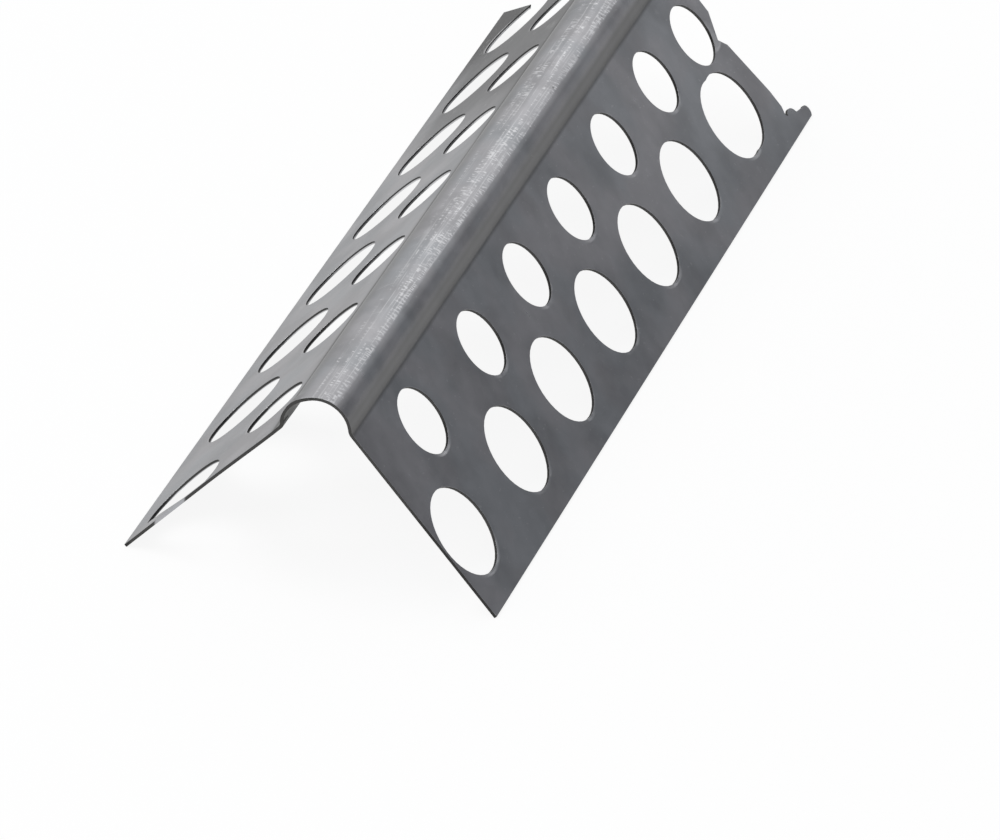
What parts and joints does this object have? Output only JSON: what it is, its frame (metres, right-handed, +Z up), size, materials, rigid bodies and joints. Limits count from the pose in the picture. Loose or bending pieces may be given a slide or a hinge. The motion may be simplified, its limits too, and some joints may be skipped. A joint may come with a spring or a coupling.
{
  "type": "drywall corner bead",
  "caption": "Offcut of galvanised corner bead: a rolled nose between perforated flanges with staggered rows of punched holes, to protect and straighten plastered wall corners.",
  "frame": {"origin": "on the floor, under the middle of the bounding box", "axes": "+Y along the bead from the near cut to the far snipped end, +Z up through the nose, +X to the right as seen from the near cut"},
  "size_m": [0.0406, 0.1314, 0.0218],
  "materials": {
    "galvanised_sheet": "dull galvanised steel sheet with a faint spangle"
  },
  "bodies": {
    "root": {"corner_bead": "galvanised_sheet"}
  },
  "joints": []
}
